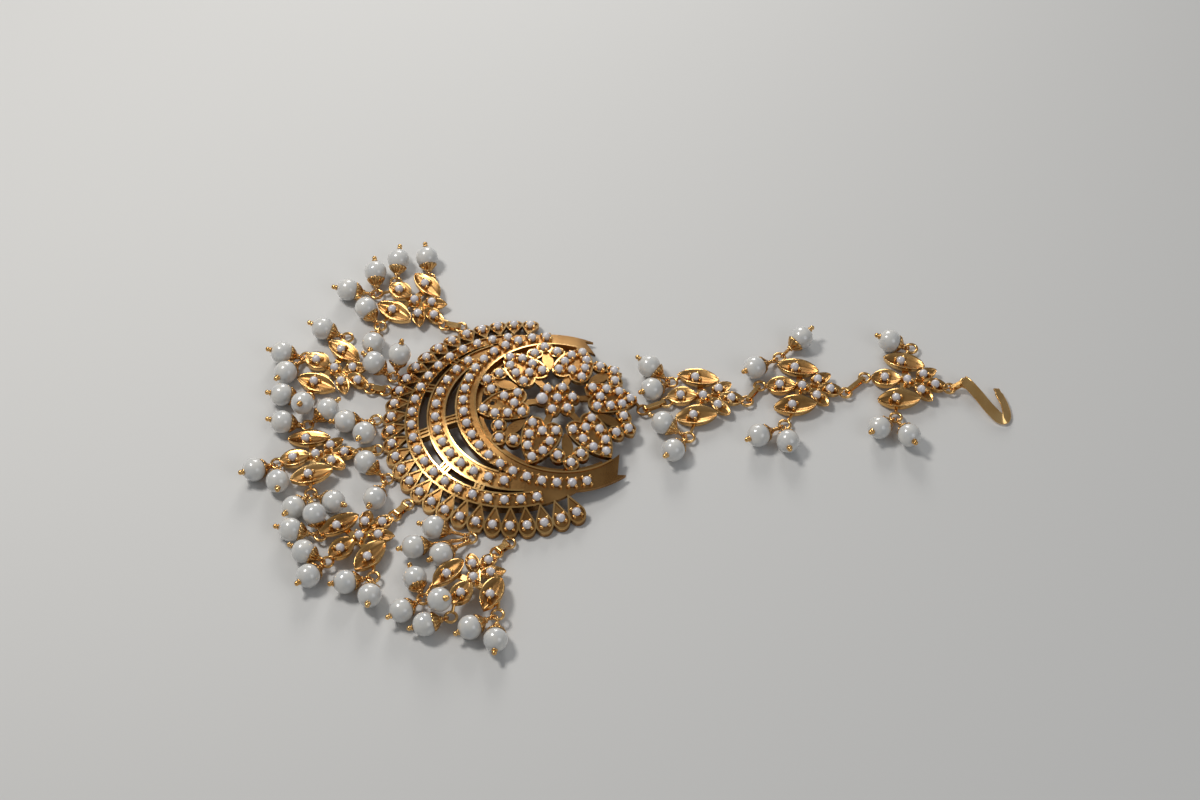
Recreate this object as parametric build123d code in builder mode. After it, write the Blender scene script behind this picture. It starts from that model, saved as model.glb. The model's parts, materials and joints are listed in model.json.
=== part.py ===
from build123d import *
import os
from math import atan2, cos, degrees, hypot, radians, sin

os.makedirs("parts", exist_ok=True)

# A maang tikka lying face up. +X runs from the pearl drops to the hair hook, +Z is up and
# z = 0 is the surface it lies on. Plan places are measured from the middle of the fringe
# circle, and home moves them so that the whole piece is centred on the origin.
home = (-22.02, 2.43)
medallion_place = (-0.2, -1.0)

# Set pearls and the dome that they lie on
seed_radius = 0.95
centre_seed_radius = 1.25
seat_gap = 0.12
dome_radius = 67.0
dome_middle_z = -58.85
seat_depth = 0.55
plate_thickness = 0.7
wall_height = 0.35
wall_depth = 1.5
ledge_gap = 0.15
cut_height = 12.0

# Crescent frame: edge circles as centre x, centre y, radius
outer_edge = (-0.65, 0.0, 23.3)
horn_edge = (9.2, 0.5, 21.6)
inner_edge = (9.2, 0.5, 17.5)
first_slot = ((-0.65, 0.0, 20.2), (1.08, 0.0, 20.15))
second_slot = ((1.45, 0.0, 16.45), (5.95, 0.5, 18.75))
rail_width = 0.35
ledge_reach = 1.2
ledge_lap = 0.7
horn_cut = [(18.6, 19.0), (20.6, 12.0), (20.6, -11.0), (18.6, -18.0)]
# Bridges across the slots: x, y, turn, length along the band's radius
bridges = [
    (-19.96, -0.9, 2.0, 2.6),
    (-17.0, 10.8, -33.0, 2.6),
    (-17.0, -10.8, 33.0, 2.6),
    (-10.6, 16.9, -60.0, 1.8),
    (-10.6, -16.9, 60.0, 1.8),
    (-13.85, 0.3, 0.0, 3.0),
]
bridge_width = 2.2
rib_width = 0.35

# Rows of set pearls on the crescent: name, centre x, centre y, radius, count, pitch, middle angle
rows = [
    ("fringe_pearls", 0.0, 0.0, 27.0, 29, 7.65, 181.0),
    ("outer_row_pearls", -0.65, 0.0, 21.75, 22, 9.07, 178.6),
    ("middle_row_pearls", 1.08, 0.0, 18.24, 13, 10.86, 184.2),
    ("inner_row_pearls", 9.17, 0.5, 20.13, 22, 9.07, 182.25),
]

# Fringe petals, one under each fringe pearl
petal_point = 23.0
petal_round = 27.2
petal_half_width = 1.9

# Rosette: six hearts, six trefoils and a flower of seven, about its own centre
rosette_place = (9.2, 0.8)
heart_seeds = [(8.14, 2.62), (11.1, 2.31), (13.75, 1.7)]
heart_middle_seed = 9.31
heart_tip_seed = 15.9
empty_seat = (180, 13.75, -1.7)
empty_seat_hole = 0.5
trefoil_seeds = [(14.14, 2.46), (14.14, -2.46), (16.06, 0.0)]
flower_seed_ring = 3.29
large_seed_angle = 180
large_seed_lift = 0.25
heart_lobe = [(7.4, 0.0), (6.3, 2.2), (8.6, 4.1)]
heart_side = [(8.6, 4.1), (13.2, 3.45), (17.6, 0.0)]
trefoil_lobe = 1.7
rosette_rim = 0.3
inner_leaf = (11.9, 6.2, 2.4)
flower_lobe = 1.6
stem = (6.1, 4.0, 1.4)
rosette_inset = 0.15

# Leaf stamping: u runs towards its tip, v across, and its middle pearl is at the origin
leaf_seeds = [(6.1, 0.0), (3.25, 2.2), (3.25, -2.2), (0.0, 0.0), (-1.9, 5.15), (-1.9, -5.15), (-4.9, 0.0)]
# Leaves: middle u, middle v, turn, length, width
leaves = [
    (6.0, 0.0, 0.0, 5.0, 3.0),
    (3.7, 2.4, 42.0, 5.0, 2.8),
    (3.7, -2.4, -42.0, 5.0, 2.8),
    (-1.2, 5.2, -9.0, 9.0, 4.2),
    (-1.2, -5.2, 9.0, 9.0, 4.2),
    (-4.6, 0.0, 0.0, 6.2, 4.4),
]
# Webs that join them: middle u, middle v, length, width
leaf_webs = [(0.6, 0.0, 8.0, 2.0), (-0.7, 0.0, 1.3, 8.0)]
leaf_middle = 1.6
leaf_thickness = 0.45
leaf_rim = 0.3
leaf_rim_width = 0.3
leaf_dome_radius = 45.0
leaf_points = {
    "tip": (7.9, 0.0),
    "left": (-1.6, 7.0),
    "left_end": (-4.8, 6.0),
    "right": (-1.6, -7.0),
    "end": (-7.3, 0.0),
    "end_right": (-6.4, -1.0),
}
# Plates: name, x, y, height of the middle, heading of the tip, pitch (tip down), roll
plates = [
    ("chain_leaf_1", 40.6, -1.9, 1.9, -14.6, 0.0, 0.0),
    ("chain_leaf_2", 62.25, -3.5, 1.9, -16.9, 0.0, 0.0),
    ("chain_leaf_3", 85.0, -6.35, 1.9, -21.0, 0.0, 0.0),
    ("pendant_leaf_1", -16.9, 37.2, 1.9, -53.4, 0.0, 0.0),
    ("pendant_leaf_2", -36.8, 21.4, 1.9, -42.0, 0.0, 0.0),
    ("pendant_leaf_3", -43.5, -1.3, 2.1, -3.0, 0.0, -6.0),
    ("pendant_leaf_4", -37.1, -24.1, 2.45, 31.0, 5.5, 0.5),
    ("pendant_leaf_5", -15.6, -39.5, 3.3, 50.0, 12.0, 0.0),
]

# Soldered rings
ring_radius = 1.2
ring_wire = 0.3
lug_wire = 0.35
# Rings on the leaf plates: name, x, y, z, plate, the point of it that carries the ring
rings = [
    ("c1_tip", 49.8, -4.3, 1.1, "chain_leaf_1", "tip"),
    ("c1_end", 32.6, -1.2, 1.1, "chain_leaf_1", "end"),
    ("c1_left", 34.9, 3.9, 1.1, "chain_leaf_1", "left_end"),
    ("c1_right", 35.4, -11.4, 1.1, "chain_leaf_1", "right"),
    ("c2_tip", 71.3, -6.3, 1.1, "chain_leaf_2", "tip"),
    ("c2_end", 53.5, -0.8, 1.1, "chain_leaf_2", "end"),
    ("c2_left", 59.5, 6.0, 1.1, "chain_leaf_2", "left"),
    ("c2_right", 56.3, -12.2, 1.1, "chain_leaf_2", "right"),
    ("c3_tip", 93.6, -9.7, 1.3, "chain_leaf_3", "tip"),
    ("c3_end", 76.4, -3.1, 1.1, "chain_leaf_3", "end"),
    ("c3_left", 88.6, 2.8, 1.1, "chain_leaf_3", "left"),
    ("c3_right", 80.2, -14.9, 1.1, "chain_leaf_3", "right"),
    ("p1_tip", -11.3, 29.6, 1.1, "pendant_leaf_1", "tip"),
    ("p1_end", -20.2, 44.4, 1.1, "pendant_leaf_1", "end"),
    ("p1_out", -24.9, 41.6, 1.1, "pendant_leaf_1", "end_right"),
    ("p1_left", -12.6, 44.0, 1.1, "pendant_leaf_1", "left"),
    ("p1_right", -25.4, 32.2, 1.1, "pendant_leaf_1", "right"),
    ("p2_tip", -29.8, 15.1, 1.1, "pendant_leaf_2", "tip"),
    ("p2_end", -42.6, 26.6, 1.1, "pendant_leaf_2", "end"),
    ("p2_left", -33.0, 30.4, 1.1, "pendant_leaf_2", "left"),
    ("p2_right", -43.4, 15.4, 1.1, "pendant_leaf_2", "right"),
    ("p3_tip", -34.1, -1.8, 1.1, "pendant_leaf_3", "tip"),
    ("p3_end", -51.9, -1.0, 1.1, "pendant_leaf_3", "end"),
    ("p3_left", -44.4, 7.8, 1.1, "pendant_leaf_3", "left"),
    ("p3_right", -45.7, -10.2, 1.1, "pendant_leaf_3", "right"),
    ("p4_tip", -29.1, -19.3, 1.1, "pendant_leaf_4", "tip"),
    ("p4_end", -44.3, -28.5, 1.7, "pendant_leaf_4", "end"),
    ("p4_left", -44.9, -21.6, 1.6, "pendant_leaf_4", "left"),
    ("p4_right", -35.5, -33.9, 1.6, "pendant_leaf_4", "right"),
    ("p5_tip", -9.7, -32.6, 1.1, "pendant_leaf_5", "tip"),
    ("p5_end", -21.4, -47.6, 3.2, "pendant_leaf_5", "end"),
    ("p5_left", -26.2, -41.6, 2.2, "pendant_leaf_5", "left"),
    ("p5_right", -12.0, -48.3, 2.4, "pendant_leaf_5", "right"),
]
# Rings under the edge of the fringe: name, petals counted from the middle one
fringe_ring_place = 30.4
fringe_ring_height = 0.95
fringe_rings = [
    ("f_link_1", -10),
    ("f_link_2", -4),
    ("f_drop_4", -5),
    ("f_drop_1", -2),
    ("f_link_3", 0),
    ("f_drop_2", 2),
    ("f_link_4", 4),
    ("f_drop_3", 8),
    ("f_link_5", 10),
]
# Ring beside the rosette that holds the chain: distance and angle about the rosette
rosette_ring = (18.4, -6.5)

# Oval links: name, ring, ring, wire width
link_thickness = 0.35
link_gap = 0.12
link_reach = 1.2
links = [
    ("pendant_link_1", "f_link_1", "p1_tip", 1.3),
    ("pendant_link_2", "f_link_2", "p2_tip", 1.3),
    ("pendant_link_3", "f_link_3", "p3_tip", 1.3),
    ("pendant_link_4", "f_link_4", "p4_tip", 1.3),
    ("pendant_link_5", "f_link_5", "p5_tip", 1.3),
    ("chain_link_1", "rosette", "c1_end", 0.8),
    ("chain_link_2", "c1_tip", "c2_end", 0.8),
    ("chain_link_3", "c2_tip", "c3_end", 0.8),
    ("chain_link_4", "c3_tip", "hook", 0.8),
]

# Hair hook: a flat strip bent to a J, with a ring at the chain
hook_ring = (97.3, -9.5, 2.0)
hook_start = (97.2, -10.6, 3.5)
hook_bend = (102.9, -24.0, 1.05)
hook_end = (103.6, -11.9, 1.2)
hook_bend_radius = 1.25
hook_width = 2.1
hook_thickness = 0.45

# Pearl drops
drop_radius = 2.5
drop_bore = 0.42
pin_radius = 0.24
eye_radius = 0.65
eye_wire = 0.2
cap_gap = 0.1
cap_wall = 0.35
cap_edge_angle = 44.0
wrap_radius = 0.4
neck_radius = 0.75
ball_radius = 0.55
ball_middle = 3.2
collar_radius = 0.85
collar_top = 2.85
# Drops: group, ring, pearl x, pearl y, pearl z, turn of the eye about the ring
drops = [
    ("chain_1", "c1_left", 30.75, 8.0, 2.75, 0),
    ("chain_1", "c1_left", 30.0, 1.7, 2.75, 0),
    ("chain_1", "c1_right", 30.5, -7.6, 2.75, 0),
    ("chain_1", "c1_right", 31.2, -15.2, 2.75, 0),
    ("chain_2", "c2_left", 65.25, 9.3, 2.75, 0),
    ("chain_2", "c2_left", 53.2, 3.1, 2.75, 0),
    ("chain_2", "c2_right", 49.8, -15.0, 2.75, 0),
    ("chain_2", "c2_right", 55.6, -17.7, 2.75, 0),
    ("chain_3", "c3_left", 84.0, 4.6, 2.75, 0),
    ("chain_3", "c3_right", 75.6, -18.0, 2.75, 0),
    ("chain_3", "c3_right", 81.2, -21.4, 3.0, 0),
    ("pendant_1", "p1_out", -31.2, 42.8, 2.75, 0),
    ("pendant_1", "p1_out", -24.4, 46.9, 2.75, 0),
    ("pendant_1", "p1_end", -18.8, 49.4, 2.75, 0),
    ("pendant_1", "p1_left", -12.4, 48.8, 2.75, 0),
    ("pendant_1", "p1_right", -27.9, 36.7, 2.75, 0),
    ("pendant_1", "p1_right", -27.6, 26.3, 2.75, 0),
    ("pendant_2", "p2_left", -38.0, 32.7, 2.75, 0),
    ("pendant_2", "p2_end", -47.6, 27.6, 2.75, 0),
    ("pendant_2", "p2_end", -47.4, 22.0, 2.75, 0),
    ("pendant_2", "p2_right", -48.9, 16.0, 2.75, 0),
    ("pendant_2", "p2_right", -44.7, 11.5, 4.4, 0),
    ("pendant_3", "p3_left", -49.6, 8.6, 2.75, 0),
    ("pendant_3", "p3_left", -39.6, 10.1, 2.75, 0),
    ("pendant_3", "p3_end", -56.8, -2.9, 2.75, 0),
    ("pendant_3", "p3_end", -52.2, -6.8, 2.75, 0),
    ("pendant_3", "p3_right", -49.6, -14.2, 2.75, 0),
    ("pendant_3", "p3_right", -41.2, -14.4, 2.75, 0),
    ("pendant_4", "p4_left", -50.8, -19.7, 2.75, 0),
    ("pendant_4", "p4_left", -45.5, -17.6, 3.9, 0),
    ("pendant_4", "p4_end", -48.8, -25.6, 2.75, 0),
    ("pendant_4", "p4_end", -48.5, -31.8, 2.75, 0),
    ("pendant_4", "p4_right", -41.3, -34.7, 2.75, 0),
    ("pendant_4", "p4_right", -36.8, -39.1, 3.0, 0),
    ("pendant_5", "p5_left", -31.0, -43.8, 2.75, 0),
    ("pendant_5", "p5_left", -27.2, -36.6, 2.75, 0),
    ("pendant_5", "p5_left", -23.1, -44.8, 6.0, 0),
    ("pendant_5", "p5_end", -26.8, -47.9, 2.75, 0),
    ("pendant_5", "p5_right", -18.0, -50.4, 2.75, 0),
    ("pendant_5", "p5_right", -13.4, -54.3, 2.75, 0),
    ("fringe_left", "f_drop_1", -36.3, 6.1, 2.75, 0),
    ("fringe_left", "f_drop_1", -32.7, 1.8, 3.2, 0),
    ("fringe_right", "f_drop_2", -33.4, -5.5, 2.75, 0),
    ("fringe_right", "f_drop_2", -32.7, -15.2, 2.75, 0),
    ("fringe_right", "f_drop_3", -21.6, -24.9, 2.75, -18),
    ("fringe_right", "f_drop_3", -26.4, -28.9, 2.75, 0),
    ("fringe_right", "f_drop_3", -21.1, -31.9, 2.75, 18),
    ("fringe_far", "f_drop_4", -28.2, 19.9, 4.0, 0),
    ("fringe_far", "f_drop_4", -22.4, 20.3, 5.0, 0),
]


def at(x, y, z=0.0):
    return Vector(x + home[0], y + home[1], z)


def on_medallion(x, y, z=0.0):
    return at(x + medallion_place[0], y + medallion_place[1], z)


def on_dome(x, y, lift=0.0):
    # Point of the pearl dome above a place on the medallion
    return on_medallion(x, y, dome_middle_z + ((dome_radius + lift) ** 2 - x**2 - y**2) ** 0.5)


def polar(radius, angle, across=0.0):
    c = cos(radians(angle))
    s = sin(radians(angle))
    return (radius * c - across * s, radius * s + across * c)


plate_top = dome_radius - seat_depth
plate_bottom = plate_top - plate_thickness
wall_top = plate_top + wall_height
wall_bottom = plate_top - wall_depth
ledge_top = plate_bottom - ledge_gap
medallion_plane = Plane(origin=on_medallion(0, 0, -1.0), x_dir=(1, 0, 0), z_dir=(0, 0, 1))


def dome_shell(outer, inner):
    # Thick spherical shell under the medallion, its poles turned to the sides
    with BuildPart() as shell:
        with Locations(on_medallion(0, 0, dome_middle_z)):
            Sphere(outer, rotation=(90, 0, 0))
            Sphere(inner, rotation=(90, 0, 0), mode=Mode.SUBTRACT)
    return shell.part


plate_shell = dome_shell(plate_top, plate_bottom)
wall_shell = dome_shell(wall_top, wall_bottom)
ledge_shell = dome_shell(ledge_top, wall_bottom)


def disc(circle, inset=0.0):
    with BuildSketch() as face:
        with Locations((circle[0], circle[1])):
            Circle(circle[2] - inset)
    return face.sketch


def slot_face(slot):
    # Crescent-shaped gap between two circles whose centres differ
    with BuildSketch() as face:
        add(disc(slot[0]))
        add(disc(slot[1]), mode=Mode.SUBTRACT)
    return face.sketch


def band_face(circle, inset, width, start, sweep):
    # Part of a ring along an edge circle
    middle = (circle[0], circle[1])
    with BuildSketch() as face:
        with BuildLine():
            far = CenterArc(middle, circle[2] - inset, start, sweep)
            near = CenterArc(middle, circle[2] - inset - width, start, sweep)
            Line(far @ 0, near @ 0)
            Line(far @ 1, near @ 1)
        make_face()
    return face.sketch


def row_angles(row):
    return [row[6] + (i - (row[4] - 1) / 2) * row[5] for i in range(row[4])]


def ring_at(place):
    with BuildPart() as ring:
        with Locations(place):
            Torus(ring_radius, ring_wire)
    return ring.part


def rod(start, finish, radius):
    # Round wire from one point to another
    with BuildPart() as wire:
        with BuildSketch(Plane(origin=start, z_dir=finish - start)):
            Circle(radius)
        extrude(amount=(finish - start).length)
    return wire.part


def lug(start, ring):
    # Wire that carries a ring: from a point of the plate to the near side of the ring
    way = Vector(start.X - ring.X, start.Y - ring.Y, 0).normalized()
    return rod(start, ring + way * ring_radius, lug_wire)


def balls(places, radius):
    with BuildPart() as group:
        with Locations(*places):
            Sphere(radius)
    return group.part


def write(part, name):
    part.label = name
    export_step(part, "parts/" + name + ".step")


# Crescent frame
with BuildSketch() as petal:
    tangent = degrees(radians(90)) - degrees(atan2(petal_half_width, petal_round - petal_point))
    side = polar(petal_half_width, tangent)
    with BuildLine():
        Line((petal_point, 0), (petal_round - side[0], side[1]))
        Line((petal_point, 0), (petal_round - side[0], -side[1]))
        ThreePointArc(
            (petal_round - side[0], side[1]),
            (petal_round + petal_half_width, 0),
            (petal_round - side[0], -side[1]),
        )
    make_face()

with BuildSketch() as petal_rim:
    add(petal.sketch)
    offset(petal.sketch, amount=-rail_width, mode=Mode.SUBTRACT)

with BuildSketch() as horn_waste:
    with BuildLine():
        Polyline(*horn_cut, (60, -18.0), (60, 19.0), close=True)
    make_face()

with BuildSketch() as bridge_faces:
    for x, y, turn, length in bridges:
        with Locations(Location((x, y, 0), (0, 0, turn))):
            Rectangle(length, bridge_width)

with BuildSketch() as rib_faces:
    for x, y, turn, length in bridges:
        with Locations(Location((x, y, 0), (0, 0, turn))):
            with GridLocations(0, (bridge_width - rib_width) / 2, 1, 3):
                Rectangle(length, rib_width)

fringe_angles = row_angles(rows[0])
rim_shell = dome_shell(wall_top, plate_bottom)

with BuildSketch() as crescent_outline:
    add(disc(outer_edge))
    add(disc(horn_edge))
    add(disc(inner_edge), mode=Mode.SUBTRACT)
    add(slot_face(first_slot), mode=Mode.SUBTRACT)
    add(slot_face(second_slot), mode=Mode.SUBTRACT)
    add(horn_waste.sketch, mode=Mode.SUBTRACT)
    add(bridge_faces.sketch)
    for angle in fringe_angles:
        add(petal.sketch, rotation=angle)

with BuildPart() as walls:
    with BuildSketch(medallion_plane):
        add(band_face(outer_edge, 0, rail_width, 84, 190))
        add(band_face(first_slot[0], -rail_width, rail_width, 85, 190))
        add(band_face(first_slot[1], 0, rail_width, 98, 164))
        add(band_face(second_slot[0], -rail_width, rail_width, 117, 126))
        add(band_face(second_slot[1], 0, rail_width, 127, 106))
        add(band_face(inner_edge, -rail_width, rail_width, 60, 240))
        add(rib_faces.sketch)
    extrude(amount=cut_height)
    add(wall_shell, mode=Mode.INTERSECT)

with BuildPart() as rims:
    with BuildSketch(medallion_plane):
        for angle in fringe_angles:
            add(petal_rim.sketch, rotation=angle)
    extrude(amount=cut_height)
    add(rim_shell, mode=Mode.INTERSECT)

with BuildPart() as ledge:
    with BuildSketch(medallion_plane):
        add(band_face(inner_edge, -ledge_lap, ledge_lap + ledge_reach, 66, 228))
    extrude(amount=cut_height)
    add(ledge_shell, mode=Mode.INTERSECT)

ring_places = {}
for name, petals in fringe_rings:
    x, y = polar(fringe_ring_place, rows[0][6] + petals * rows[0][5])
    ring_places[name] = on_medallion(x, y, fringe_ring_height)

row_places = {}
for row in rows:
    row_places[row[0]] = []
    for angle in row_angles(row):
        x, y = polar(row[3], angle)
        row_places[row[0]].append(on_dome(row[1] + x, row[2] + y))

with BuildPart() as crescent:
    with BuildSketch(medallion_plane):
        add(crescent_outline.sketch)
    extrude(amount=cut_height)
    add(plate_shell, mode=Mode.INTERSECT)
    add(walls.part)
    add(rims.part)
    add(ledge.part)
    with Locations(*[place for places in row_places.values() for place in places]):
        Sphere(seed_radius + seat_gap, mode=Mode.SUBTRACT)
    for place in ring_places.values():
        add(ring_at(place))

write(crescent.part, "crescent_frame")
for name, places in row_places.items():
    write(balls(places, seed_radius), name)

# Rosette, drawn about its own centre
with BuildSketch() as heart:
    with BuildLine() as heart_half:
        ThreePointArc(*heart_lobe)
        ThreePointArc(*heart_side)
        mirror(heart_half.line, about=Plane.XZ)
    make_face()

with BuildSketch() as heart_rim:
    add(heart.sketch)
    offset(heart.sketch, amount=-rosette_rim, mode=Mode.SUBTRACT)

with BuildSketch() as trefoil_rim:
    with Locations(*trefoil_seeds):
        Circle(trefoil_lobe)
    with Locations(*trefoil_seeds):
        Circle(trefoil_lobe - rosette_rim, mode=Mode.SUBTRACT)

with BuildSketch() as spray:
    # Pointed leaf between two hearts, with its trefoil
    with Locations(*trefoil_seeds):
        Circle(trefoil_lobe)
    with BuildLine():
        ThreePointArc(
            (inner_leaf[0] - inner_leaf[1] / 2, 0),
            (inner_leaf[0], inner_leaf[2] / 2),
            (inner_leaf[0] + inner_leaf[1] / 2, 0),
        )
        ThreePointArc(
            (inner_leaf[0] - inner_leaf[1] / 2, 0),
            (inner_leaf[0], -inner_leaf[2] / 2),
            (inner_leaf[0] + inner_leaf[1] / 2, 0),
        )
    make_face()

sixths = [60 * k for k in range(6)]
rosette_middle = on_medallion(rosette_place[0], rosette_place[1], -1.0)
rosette_plane = Plane(origin=rosette_middle, x_dir=(1, 0, 0), z_dir=(0, 0, 1))
rosette_limit = (
    inner_edge[0] - rosette_place[0],
    inner_edge[1] - rosette_place[1],
    inner_edge[2],
)

heart_places = []
trefoil_places = []
flower_places = []


def on_rosette(radius, angle, across=0.0, lift=0.0):
    x, y = polar(radius, angle, across)
    return on_dome(rosette_place[0] + x, rosette_place[1] + y, lift)


for angle in sixths:
    heart_places.append(on_rosette(heart_middle_seed, angle))
    heart_places.append(on_rosette(heart_tip_seed, angle))
    for radius, aside in heart_seeds:
        for across in (-aside, aside):
            if (angle, radius, across) != empty_seat:
                heart_places.append(on_rosette(radius, angle, across))
    for radius, across in trefoil_seeds:
        trefoil_places.append(on_rosette(radius, angle + 30, across))
    if angle != large_seed_angle:
        flower_places.append(on_rosette(flower_seed_ring, angle))
flower_places.append(on_rosette(0, 0))
large_place = on_rosette(flower_seed_ring, large_seed_angle, 0, large_seed_lift)
hole_place = on_rosette(empty_seat[1], empty_seat[0], empty_seat[2])

with BuildPart() as rosette_rims:
    with BuildSketch(rosette_plane):
        for angle in sixths:
            add(heart_rim.sketch, rotation=angle)
            add(trefoil_rim.sketch, rotation=angle + 30)
        add(disc(rosette_limit, rosette_inset), mode=Mode.INTERSECT)
    extrude(amount=cut_height)
    add(rim_shell, mode=Mode.INTERSECT)

ring_x, ring_y = polar(*rosette_ring)
ring_places["rosette"] = on_medallion(rosette_place[0] + ring_x, rosette_place[1] + ring_y, 1.1)
lug_start = on_rosette(heart_tip_seed + 0.9, 0, 0, -seat_depth - plate_thickness / 2)

with BuildPart() as rosette:
    with BuildSketch(rosette_plane):
        for angle in sixths:
            add(heart.sketch, rotation=angle)
            add(spray.sketch, rotation=angle + 30)
        with PolarLocations(stem[0], 6):
            Rectangle(stem[1], stem[2])
        with PolarLocations(flower_seed_ring, 6):
            Circle(flower_lobe)
        Circle(flower_seed_ring)
        add(disc(rosette_limit, rosette_inset), mode=Mode.INTERSECT)
    extrude(amount=cut_height)
    add(plate_shell, mode=Mode.INTERSECT)
    add(rosette_rims.part)
    with Locations(*heart_places, *trefoil_places, *flower_places, hole_place):
        Sphere(seed_radius + seat_gap, mode=Mode.SUBTRACT)
    with Locations(large_place):
        Sphere(centre_seed_radius + seat_gap, mode=Mode.SUBTRACT)
    with Locations(hole_place):
        Cylinder(empty_seat_hole, 4, mode=Mode.SUBTRACT)
    add(ring_at(ring_places["rosette"]))
    add(lug(lug_start, ring_places["rosette"]))

write(rosette.part, "rosette")
write(balls(heart_places, seed_radius), "heart_pearls")
write(balls(trefoil_places, seed_radius), "trefoil_pearls")
write(balls(flower_places, seed_radius), "flower_pearls")
write(balls([large_place], centre_seed_radius), "large_flower_pearl")


# Leaf plates: one stamping, placed eight times
def lens_face(length, width):
    with BuildSketch() as face:
        with BuildLine():
            ThreePointArc((-length / 2, 0), (0, width / 2), (length / 2, 0))
            ThreePointArc((-length / 2, 0), (0, -width / 2), (length / 2, 0))
        make_face()
    return face.sketch


def leaf_shell(outer, inner):
    with BuildPart() as shell:
        with Locations((0, 0, -leaf_dome_radius)):
            Sphere(outer, rotation=(90, 0, 0))
            Sphere(inner, rotation=(90, 0, 0), mode=Mode.SUBTRACT)
    return shell.part


def on_leaf(u, v, lift=0.0):
    return Vector(u, v, ((leaf_dome_radius + lift) ** 2 - u**2 - v**2) ** 0.5 - leaf_dome_radius)


leaf_bottom = leaf_dome_radius - leaf_thickness
leaf_plane = Plane(origin=(0, 0, -4.0), x_dir=(1, 0, 0), z_dir=(0, 0, 1))

with BuildPart() as leaf_rims:
    with BuildSketch(leaf_plane):
        for u, v, turn, length, width in leaves:
            with Locations(Location((u, v, 0), (0, 0, turn))):
                add(lens_face(length, width))
        for u, v, turn, length, width in leaves:
            with Locations(Location((u, v, 0), (0, 0, turn))):
                add(
                    lens_face(length - 3 * leaf_rim_width, width - 2 * leaf_rim_width),
                    mode=Mode.SUBTRACT,
                )
    extrude(amount=8)
    add(leaf_shell(leaf_dome_radius + leaf_rim, leaf_bottom), mode=Mode.INTERSECT)

with BuildPart() as stamping:
    with BuildSketch(leaf_plane):
        for u, v, turn, length, width in leaves:
            with Locations(Location((u, v, 0), (0, 0, turn))):
                add(lens_face(length, width))
        for u, v, length, width in leaf_webs:
            with Locations((u, v)):
                Rectangle(length, width)
        Circle(leaf_middle)
    extrude(amount=8)
    add(leaf_shell(leaf_dome_radius, leaf_bottom), mode=Mode.INTERSECT)
    add(leaf_rims.part)
    with Locations(*[on_leaf(u, v, seat_depth) for u, v in leaf_seeds]):
        Sphere(seed_radius + seat_gap, mode=Mode.SUBTRACT)

for name, x, y, height, heading, pitch, roll in plates:
    turned = Location((0, 0, 0), (0, 0, heading)) * Location((0, 0, 0), (0, pitch, 0))
    place = Location(at(x, y, height)) * turned * Location((0, 0, 0), (roll, 0, 0))
    with BuildPart() as plate:
        with Locations(place):
            add(stamping.part)
        for ring_name, ring_u, ring_v, ring_z, host, point in rings:
            if host == name:
                ring_place = at(ring_u, ring_v, ring_z)
                ring_places[ring_name] = ring_place
                spot = on_leaf(*leaf_points[point], -leaf_thickness / 2)
                start = (place * Location(spot)).position
                add(ring_at(ring_place))
                add(lug(start, ring_place))
    write(plate.part, name)

# Hair hook, bent in the plane of its start, bend and end
hook_points = [at(*hook_start), at(*hook_bend), at(*hook_end)]
hook_normal = (hook_points[1] - hook_points[0]).cross(hook_points[2] - hook_points[0]).normalized()
ring_places["hook"] = at(*hook_ring)

with BuildPart() as hook:
    with BuildLine() as hook_line:
        FilletPolyline(*hook_points, radius=hook_bend_radius)
    with BuildSketch(Plane(origin=hook_line.line @ 0, x_dir=hook_normal, z_dir=hook_line.line % 0)):
        Rectangle(hook_width, hook_thickness)
    sweep(path=hook_line.line)
    add(ring_at(ring_places["hook"]))
    add(rod(hook_points[0] + (0, -0.3, -0.6), ring_places["hook"] + (0, -ring_radius, 0), lug_wire))

write(hook.part, "hair_hook")

# Oval links between two rings, standing on edge
for name, first, second, width in links:
    way = ring_places[second] - ring_places[first]
    level = Vector(way.X, way.Y, 0).normalized()
    start = ring_places[first] + level * ring_radius
    finish = ring_places[second] - level * ring_radius
    span = finish - start
    inner_height = 2 * (ring_wire + link_gap)
    inner_length = span.length + 2 * (link_reach - link_thickness)
    side = level.cross(Vector(0, 0, 1))
    link_plane = Plane(origin=(start + finish) / 2, x_dir=span, z_dir=side)
    with BuildPart() as link:
        with BuildSketch(link_plane):
            SlotOverall(inner_length + 2 * link_thickness, inner_height + 2 * link_thickness)
            SlotOverall(inner_length, inner_height, mode=Mode.SUBTRACT)
        extrude(amount=width / 2, both=True)
    write(link.part, name)


# Pearl drops
def drop_axes(drop):
    # Middle of the pearl, middle of the eye, direction of the pin, level direction across it
    ring_place = ring_places[drop[1]]
    pearl_place = at(drop[2], drop[3], drop[4])
    heading = atan2(pearl_place.Y - ring_place.Y, pearl_place.X - ring_place.X) + radians(drop[5])
    eye_place = ring_place + Vector(cos(heading), sin(heading), 0) * ring_radius
    way = (pearl_place - eye_place).normalized()
    return pearl_place, eye_place, way, way.cross(Vector(0, 0, 1)).normalized()


def drop_pearl(drop):
    place, eye, way, side = drop_axes(drop)
    with BuildPart() as pearl:
        with BuildSketch(Plane(origin=place, x_dir=side, z_dir=side.cross(way))):
            with BuildLine():
                end = (drop_radius**2 - drop_bore**2) ** 0.5
                ThreePointArc((drop_bore, -end), (drop_radius, 0), (drop_bore, end))
                Line((drop_bore, -end), (drop_bore, end))
            make_face()
        revolve(axis=Axis(place, way))
    return pearl.part


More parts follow.
